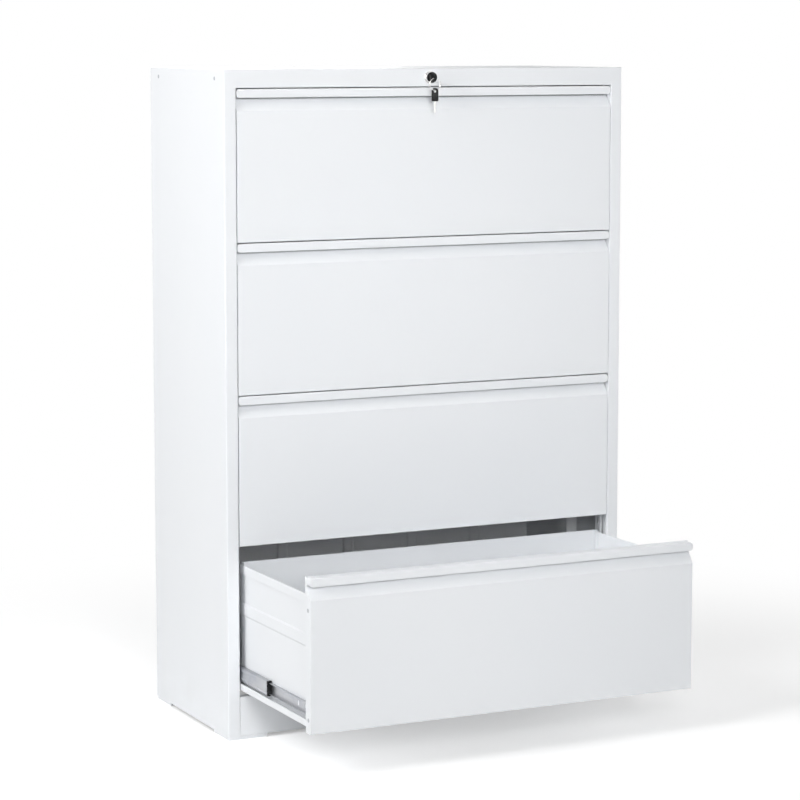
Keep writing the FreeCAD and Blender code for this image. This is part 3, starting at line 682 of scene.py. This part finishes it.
@dataclass
class CrossHead:
    """Low domed head with a cross recess. Millimetres."""

    radius: float
    proud: float

    def height(self, x: float, y: float) -> float:
        """Returns how far the head stands out at one point.

        Args:
            x: Across, from the head's middle.
            y: Along, from the head's middle.
        """
        dome = self.proud * (1.0 - (math.hypot(x, y) / self.radius) ** 3.2)
        arm = 0.0
        for along, across in ((x, y), (y, x)):
            inside = min(0.14 * self.radius - abs(across), 0.56 * self.radius - abs(along))
            arm = max(arm, min(1.0, max(0.0, 0.5 + inside / (0.10 * self.radius))))
        return dome - arm * self.proud * 1.3

    def draw(self, sketch: Sketch, place: Matrix) -> None:
        """Adds the head to a sketch.

        Args:
            sketch: The sketch.
            place: Own X and Y in the sheet, Z outwards.
        """
        foot = [(self.radius * math.cos(a), self.radius * math.sin(a), -1.0) for a in circle(96)]
        rows = [sketch.loop(foot, place)]
        for i in range(22):
            r = self.radius * (1.0 - i / 21.5)
            flat = [(r * math.cos(a), r * math.sin(a)) for a in circle(96)]
            rows.append(sketch.loop([(x, y, self.height(x, y)) for x, y in flat], place))
        sketch.skin(rows)


@dataclass
class BallCage:
    """Plastic strip that spaces the balls of a slide, swollen round each ball. Millimetres."""

    length: float = 140.0
    width: float = 4.0
    thickness: float = 1.3
    balls: int = 9
    pitch: float = 15.0
    ball_radius: float = 0.9

    def seats(self) -> list[float]:
        """Returns where the balls sit along the strip."""
        first = (self.length - (self.balls - 1) * self.pitch) / 2.0
        return [first + i * self.pitch for i in range(self.balls)]

    def draw(self, sketch: Sketch, place: Matrix) -> None:
        """Adds the strip to a sketch.

        Args:
            sketch: The sketch.
            place: Own X across the strip, Y along it and Z through it.
        """
        rows = []
        for i in range(141):
            along = self.length * i / 140.0
            near = min(abs(along - seat) for seat in self.seats())
            swell = 0.62 + 0.38 * min(1.0, max(0.0, (3.0 - near) / 1.6))
            half, low = swell * self.width / 2.0, self.thickness / 2.0
            section = [(-half, -0.5 * low), (-half + 0.3, -low), (half - 0.3, -low), (half, -0.5 * low),
                       (half, 0.5 * low), (half - 0.3, low), (-half + 0.3, low), (-half, 0.5 * low)]
            rows.append(sketch.loop([(x, along, z) for x, z in section], place))
        sketch.skin(rows)

    def draw_balls(self, sketch: Sketch, place: Matrix) -> None:
        """Adds the strip's steel balls to a sketch.

        Args:
            sketch: The sketch.
            place: The strip's own axes, with Z = 0 at the balls' middle.
        """
        for seat in self.seats():
            rows = []
            for i in range(1, 8):
                turn = math.pi * i / 8.0
                r, z = self.ball_radius * math.sin(turn), self.ball_radius * math.cos(turn)
                ring = [(r * math.cos(a), seat + r * math.sin(a), z) for a in circle(12)]
                rows.append(sketch.loop(ring, place))
            sketch.skin(rows)


@dataclass
class Hook:
    """White tongue of the drawer side that stands through the slide's drawer member. Millimetres."""

    width: float = 5.4
    height: float = 10.4
    depth: float = 1.5
    edge: float = 0.3

    def draw(self, sketch: Sketch, place: Matrix) -> None:
        """Adds the tongue to a sketch.

        Args:
            sketch: The sketch.
            place: Own X along the slide, Y up, Z out of the drawer side.
        """
        rows = []
        for z, shrink in ((0.0, 0.0), (self.depth - self.edge, 0.0), (self.depth, self.edge)):
            radius = self.width / 2.0 - shrink
            straight = (self.height - self.width) / 2.0
            outline = [(radius * math.cos(a), radius * math.sin(a) + math.copysign(straight, math.sin(a)), z)
                       for a in circle(30)]
            rows.append(sketch.loop(outline, place))
        sketch.skin(rows)


@dataclass
class Rib:
    """Long rib pressed outwards in the web of a slide's middle member. Millimetres."""

    length: float = 330.0
    half_width: float = 2.6
    proud: float = 0.7
    end: float = 5.0
    steps: int = 8

    def draw(self, sketch: Sketch, place: Matrix) -> None:
        """Adds the rib to a sketch.

        Args:
            sketch: The sketch.
            place: Own X up, Y to the back from the rib's front end, Z out of the web.
        """
        rows = []
        for y, size in ((0.0, 0.3), (self.end, 1.0), (self.length - self.end, 1.0), (self.length, 0.3)):
            top = []
            for i in range(self.steps + 1):
                t = 2.0 * i / self.steps - 1.0
                top.append((t * self.half_width, y, size * self.proud * (1.0 - t * t) ** 0.8))
            root = [(0.5 * self.half_width, y, -0.3), (-0.5 * self.half_width, y, -0.3)]
            rows.append(sketch.loop(top + root, place))
        sketch.skin(rows)


@dataclass
class Bumper:
    """Moulded stop on the front end of a slide's middle member, with a hooked latch. Millimetres."""

    width: float = 9.0
    half_height: float = 15.1

    def draw(self, sketch: Sketch, place: Matrix) -> None:
        """Adds the stop to a sketch.

        Args:
            sketch: The sketch.
            place: Own X across, Y to the back from the stop's front, Z up from its middle.
        """
        high = self.half_height
        upper = [(2.4, 0.0), (2.4, 3.2), (4.6, 4.4), (4.6, 6.2), (2.7, 7.4), (2.7, high - 5.2),
                 (5.8, high - 3.4), (5.8, high - 0.9), (4.9, high), (1.0, high), (0.2, high - 0.8),
                 (0.2, high - 4.0), (1.1, high - 5.4), (1.1, 1.2)]
        lower = [(y, -z) for y, z in reversed(upper[1:])]
        rows = []
        for x, shrink in ((-0.5, 0.35), (-0.44, 0.0), (0.44, 0.0), (0.5, 0.35)):
            outline = [(y + (shrink if y < 2.0 else -shrink),
                        z - math.copysign(shrink, z) if abs(z) > 1.5 else z) for y, z in upper + lower]
            rows.append(sketch.loop([(x * self.width, y, z) for y, z in outline], place))
        sketch.skin(rows)


# Where things are in the cabinet, in millimetres.
CAP_LEVEL = 1322.0
DRAWER_COUNT = 4
DRAWER_PITCH = 303.575
FIRST_DRAWER_TOP = 1304.0
OPEN_TRAVEL = 343.0
SLIDE_LEVEL = 43.5
LOCK_FACE = (0.0, -30.5, CAP_LEVEL)
RING_CENTRE = (0.0, -51.9, 1308.25)
SPARE_KEY_SHOULDER = (0.0, -51.9, 1274.1)
SPARE_KEY_TURN = -52.0


@dataclass
class SubAssembly(ABC):
    """A group of solids that one fitter would put together."""

    def solids(self) -> dict[str, Slot]:
        """Returns the frame's own solids in the group and the finish of each."""
        return {}

    def build(self) -> Iterable[bpy.types.Object]:
        """Returns the small parts added to the frame's solids."""
        return ()

    def dress(self) -> None:
        """Finishes the group's solids and added parts, and reports them."""
        for name, slot in self.solids().items():
            FINISHES[slot].dress(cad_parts[name])
            log.info("%s: finished in %s", name, slot.value)
        for piece in self.build():
            log.info("%s: added", piece.name)


@dataclass
class Casing(SubAssembly):
    """The cabinet's shell."""

    screw_side: float = 450.0
    screw_depths: tuple[float, ...] = (19.5, 323.5)

    def solids(self) -> dict[str, Slot]:
        """Returns the shell's solids."""
        painted = ("side_panel_left", "side_panel_right", "top_cap", "kick_rail", "corner_feet", "back_panel",
                   "slide_uprights")
        return {name: Slot.ENAMEL for name in painted}

    def build(self) -> Iterable[bpy.types.Object]:
        """Adds the heads of the cap screws."""
        heads = Sketch("cap_screw_heads")
        for side in (-1.0, 1.0):
            for depth in self.screw_depths:
                at = (side * self.screw_side, depth, CAP_LEVEL)
                place = turned((0.0, 1.0, 0.0), (0.0, 0.0, side), (side, 0.0, 0.0), at)
                CrossHead(4.0, 0.8).draw(heads, place)
        yield heads.finish("cabinet", Slot.ZINC, "cap_screws")


@dataclass
class Drawer(SubAssembly):
    """One drawer, counted from the top. Distances across are half the distance between its sides."""

    number: int
    fixing_side: float = 422.7
    fixing_depth: float = -16.5
    fixing_levels: tuple[float, ...] = (26.0, 238.075)
    hook_side: float = 410.45
    hook_depth: float = 54.0
    rib_side: float = 420.8
    rib_depth: float = 17.0
    rib_offset: float = 8.0
    bumper_side: float = 416.5
    bumper_depth: float = 10.0
    cages: tuple[tuple[float, ...], ...] = ((417.2, 203.5, 15.05, 15.35), (415.6, 16.0, 12.75, 12.45))

    @property
    def stem(self) -> str:
        """Returns the drawer's name, with which the names of its pieces begin."""
        return f"drawer_{self.number}"

    @property
    def out(self) -> float:
        """Returns how far the drawer stands open at rest."""
        return OPEN_TRAVEL if self.number == DRAWER_COUNT else 0.0

    @property
    def bottom(self) -> float:
        """Returns the level of the front's lower edge."""
        return FIRST_DRAWER_TOP - self.number * DRAWER_PITCH

    def solids(self) -> dict[str, Slot]:
        """Returns the drawer's solids."""
        painted = ("front", "side_left", "side_right", "back", "bottom")
        found = {f"{self.stem}_{part}": Slot.ENAMEL for part in painted}
        found[f"{self.stem}_slide_members"] = Slot.ZINC
        found[f"{self.stem}_middle_members"] = Slot.ZINC
        return found

    def build(self) -> Iterable[bpy.types.Object]:
        """Adds what rides on the drawer, then what rides on its middle slide members."""
        heads, hooks = Sketch(f"{self.stem}_fixings"), Sketch(f"{self.stem}_slide_hooks")
        trim, balls = Sketch(f"{self.stem}_slide_trim"), Sketch(f"{self.stem}_slide_balls")
        ribs = Sketch(f"{self.stem}_slide_ribs")
        for side in (-1.0, 1.0):
            self.draw_fixings(heads, side)
            self.draw_hook(hooks, side)
            self.draw_ribs(ribs, side)
            self.draw_trim(trim, balls, side)
        yield heads.finish(self.stem, Slot.ZINC, f"{self.stem}_plugs")
        yield trim.finish(f"{self.stem}_middle", Slot.BLACK, f"{self.stem}_ball_cages")
        yield balls.finish(f"{self.stem}_middle", Slot.BRIGHT)
        yield hooks.finish(self.stem, Slot.ENAMEL)
        yield ribs.finish(f"{self.stem}_middle", Slot.ZINC)

    def draw_fixings(self, heads: Sketch, side: float) -> None:
        """Draws the screws in one side return of the front.

        Args:
            heads: The sketch of the heads.
            side: -1 on the left, 1 on the right.
        """
        for level in self.fixing_levels:
            at = (side * self.fixing_side, self.fixing_depth - self.out, self.bottom + level)
            place = turned((0.0, 1.0, 0.0), (0.0, 0.0, side), (side, 0.0, 0.0), at)
            CrossHead(4.2, 0.5).draw(heads, place)

    def draw_hook(self, hooks: Sketch, side: float) -> None:
        """Draws the white tongue that stands through one drawer member.

        Args:
            hooks: The sketch of the tongues.
            side: -1 on the left, 1 on the right.
        """
        at = (side * self.hook_side, self.hook_depth - self.out, self.bottom + SLIDE_LEVEL)
        Hook().draw(hooks, turned((0.0, side, 0.0), (0.0, 0.0, 1.0), (side, 0.0, 0.0), at))

    def draw_ribs(self, ribs: Sketch, side: float) -> None:
        """Draws the two ribs of one middle member.

        Args:
            ribs: The sketch of the ribs.
            side: -1 on the left, 1 on the right.
        """
        for up in (-self.rib_offset, self.rib_offset):
            at = (side * self.rib_side, self.rib_depth - self.out / 2.0, self.bottom + SLIDE_LEVEL + up)
            Rib().draw(ribs, turned((0.0, 0.0, 1.0), (0.0, 1.0, 0.0), (side, 0.0, 0.0), at))

    def draw_trim(self, trim: Sketch, balls: Sketch, side: float) -> None:
        """Draws the black stop of one middle member, and its ball cages and balls.

        Args:
            trim: The sketch of the stop and the cages.
            balls: The sketch of the balls.
            side: -1 on the left, 1 on the right.
        """
        middle, half_out = self.bottom + SLIDE_LEVEL, self.out / 2.0
        at = (side * self.bumper_side, self.bumper_depth - half_out, middle)
        Bumper().draw(trim, Matrix.Translation(at))
        cage = BallCage()
        for across, start, strip, ball in self.cages:
            for up in (-1.0, 1.0):
                plan = (side * across, start - half_out)
                cage.draw(trim, Matrix.Translation((*plan, middle + up * strip)))
                cage.draw_balls(balls, Matrix.Translation((*plan, middle + up * ball)))


@dataclass
class LockSet(SubAssembly):
    """The cam lock, its key ring and the bars that it moves."""

    def solids(self) -> dict[str, Slot]:
        """Returns the lock's solids."""
        zinc = ("lock_cam", "link_bar", "lock_rod", "rod_guides",
                "cabinet_members_left", "cabinet_members_right")
        bright = ("lock_flange_ring", "lock_nut", "lock_plug", "key_blade")
        found = {name: Slot.ZINC for name in zinc} | {name: Slot.BRIGHT for name in bright}
        return found | {"lock_barrel": Slot.BLACK}

    def build(self) -> Iterable[bpy.types.Object]:
        """Adds the barrel's bright sleeve, the two keys and their split ring."""
        sleeve = Sketch("barrel_sleeve")
        Sleeve().draw(sleeve, turned((1.0, 0.0, 0.0), (0.0, 0.0, 1.0), (0.0, -1.0, 0.0), LOCK_FACE))
        yield sleeve.finish("cabinet", Slot.BRIGHT)
        in_lock = turned((0.0, 0.0, 1.0), (-1.0, 0.0, 0.0), (0.0, -1.0, 0.0), LOCK_FACE)
        head = Sketch("key_head_moulding")
        KeyHead(14.4, 4.0, 21.4, 2.9).draw(head, in_lock)
        yield head.finish("lock", Slot.BLACK, "key_head")
        ring = Sketch("split_ring")
        SplitRing().draw(ring, RING_CENTRE)
        yield ring.finish("ring", Slot.BRIGHT, "key_ring", 60.0)
        turn = Matrix.Rotation(math.radians(SPARE_KEY_TURN), 4, "Z")
        hanging = Matrix.Translation(SPARE_KEY_SHOULDER) @ turn
        spare = Sketch("spare_key_moulding")
        KeyHead(14.4, 3.0, 20.4, 2.9).draw(spare, hanging)
        yield spare.finish("spare_key", Slot.BLACK, "spare_key_head")
        blade = Sketch("spare_key_steel")
        KeyBlade().draw(blade, hanging)
        yield blade.finish("spare_key", Slot.BRIGHT, "spare_key_blade", 25.0)


@dataclass(frozen=True)
class SoftBox:
    """A square lamp of the studio."""

    name: str
    place: Point
    aim: Point
    size: float
    power: float
    spread: float = 180.0

    @property
    def narrow(self) -> bool:
        """Returns whether the lamp lights a part of the cabinet only."""
        return self.spread < 180.0


@dataclass
class Studio:
    """Plain white studio: floor, world, lamps and the camera at the photograph's angle."""

    floor_half: float = 30.0
    floor_drop: float = 0.0003
    floor_lift: float = 0.34
    far_light: float = 0.31
    near_edge: float = 0.8
    far_edge: float = 1.9
    world_light: float = 0.20
    boxes: tuple[SoftBox, ...] = (
        SoftBox("front_box", (-1.5, -4.1, 2.2), (0.0, 0.0, 0.8), 0.9, 37.5),
        SoftBox("front_spot", (-0.9, -5.0, 2.0), (0.0, 0.0, 1.05), 1.4, 5.4, 40.0),
        SoftBox("low_box", (-1.6, -4.6, 0.7), (0.0, 0.0, 0.4), 1.4, 14.0),
        SoftBox("left_box", (-3.2, -1.0, 2.9), (-0.2, -0.2, 0.7), 1.6, 65.0),
        SoftBox("left_spot", (-3.8, -0.6, 1.6), (0.0, 0.0, 1.05), 1.6, 5.5, 60.0),
        SoftBox("side_box", (-3.8, 0.0, 1.7), (0.0, 0.0, 0.8), 2.0, 8.0),
        SoftBox("right_box", (2.6, -3.4, 1.4), (0.0, 0.0, 0.7), 2.2, 6.0),
        SoftBox("right_side_box", (4.0, 0.8, 1.7), (0.0, 0.0, 0.7), 2.4, 36.0),
        SoftBox("back_box", (0.8, 4.4, 1.9), (0.0, 0.0, 0.7), 2.4, 55.0),
    )
    lens: float = 121.265
    camera_place: Point = (-2.4632, -4.9196, 1.4003)
    yaw: float = 26.0996
    pitch: float = 6.8073
    shift: float = -0.05

    def glow(self, r: Recipe) -> Value:
        """Returns 1 for rays of the camera, of gloss and of glass.

        Args:
            r: The recipe that uses it.
        """
        kinds = ("Camera", "Glossy", "Transmission")
        rays = [r.node("ShaderNodeLightPath", {}, {}, f"Is {kind} Ray") for kind in kinds]
        return (rays[0] + rays[1] + rays[2]).clamped()

    def world(self) -> None:
        """Makes the world white to the eye and softer as a light."""
        sky = bpy.data.worlds.new("studio")
        bpy.context.scene.world = sky
        r = Recipe("studio", sky)
        strength = self.world_light + (1.0 - self.world_light) * self.glow(r)
        r.close(r.node("ShaderNodeBackground", {}, {"Color": (1.0, 1.0, 1.0, 1.0), "Strength": strength}))

    def floor(self) -> None:
        """Lays the pale floor: paper near the cabinet, where it takes the shadow, and plain white beyond."""
        mesh = bpy.data.meshes.new("floor")
        half, down = self.floor_half, -self.floor_drop
        corners = [(-half, -half, down), (half, -half, down), (half, half, down), (-half, half, down)]
        mesh.from_pydata(corners, [], [(0, 1, 2, 3)])
        plane = bpy.data.objects.new("floor", mesh)
        bpy.context.scene.collection.objects.link(plane)
        r = Recipe("studio_floor")
        glow = self.glow(r)
        away = r.node("ShaderNodeVectorMath", {"operation": "LENGTH"}, {0: r.place()}, "Value")
        far = away.between(self.near_edge, self.far_edge)
        white = (1.0, 1.0, 1.0, 1.0)
        paper = r.node("ShaderNodeBsdfDiffuse", {}, {"Color": (0.90, 0.90, 0.90, 1.0)})
        lift = r.node("ShaderNodeEmission", {}, {"Color": white, "Strength": glow * self.floor_lift})
        near = r.node("ShaderNodeAddShader", {}, {0: paper, 1: lift})
        shine = self.far_light + (1.0 - self.far_light) * glow
        beyond = r.node("ShaderNodeEmission", {}, {"Color": white, "Strength": shine})
        mesh.materials.append(r.close(r.node("ShaderNodeMixShader", {}, {0: far, 1: near, 2: beyond})))

    def lamp(self, box: SoftBox) -> None:
        """Hangs one soft box.

        Args:
            box: Its size, place and power.
        """
        light = bpy.data.lights.new(box.name, "AREA")
        light.shape, light.size = "SQUARE", box.size
        light.energy, light.spread = box.power, math.radians(box.spread)
        stand = bpy.data.objects.new(box.name, light)
        stand.location = box.place
        stand.visible_glossy = not box.narrow
        stand.rotation_euler = (Vector(box.aim) - Vector(box.place)).to_track_quat("-Z", "Y").to_euler()
        bpy.context.scene.collection.objects.link(stand)

    def camera(self) -> None:
        """Sets the camera."""
        eye = bpy.data.cameras.new("camera")
        eye.lens, eye.sensor_width, eye.shift_y = self.lens, 36.0, self.shift
        eye.clip_end = 200.0
        stand = bpy.data.objects.new("camera", eye)
        stand.location = self.camera_place
        stand.rotation_euler = (math.radians(90.0 - self.pitch), 0.0, -math.radians(self.yaw))
        bpy.context.scene.collection.objects.link(stand)
        bpy.context.scene.camera = stand

    def build(self) -> None:
        """Sets up the whole studio."""
        bpy.context.scene.view_settings.view_transform = "Standard"
        self.world()
        self.floor()
        for box in self.boxes:
            self.lamp(box)
        self.camera()
        log.info("studio: ready")


def main() -> None:
    """Dresses the cabinet, group by group, and sets up the studio."""
    logging.basicConfig(level=logging.INFO, format="%(name)s: %(message)s", stream=sys.stdout)
    groups: list[SubAssembly] = [Casing(), *(Drawer(k + 1) for k in range(DRAWER_COUNT)), LockSet()]
    for group in groups:
        group.dress()
    Studio().build()


if __name__ == "__main__":
    main()
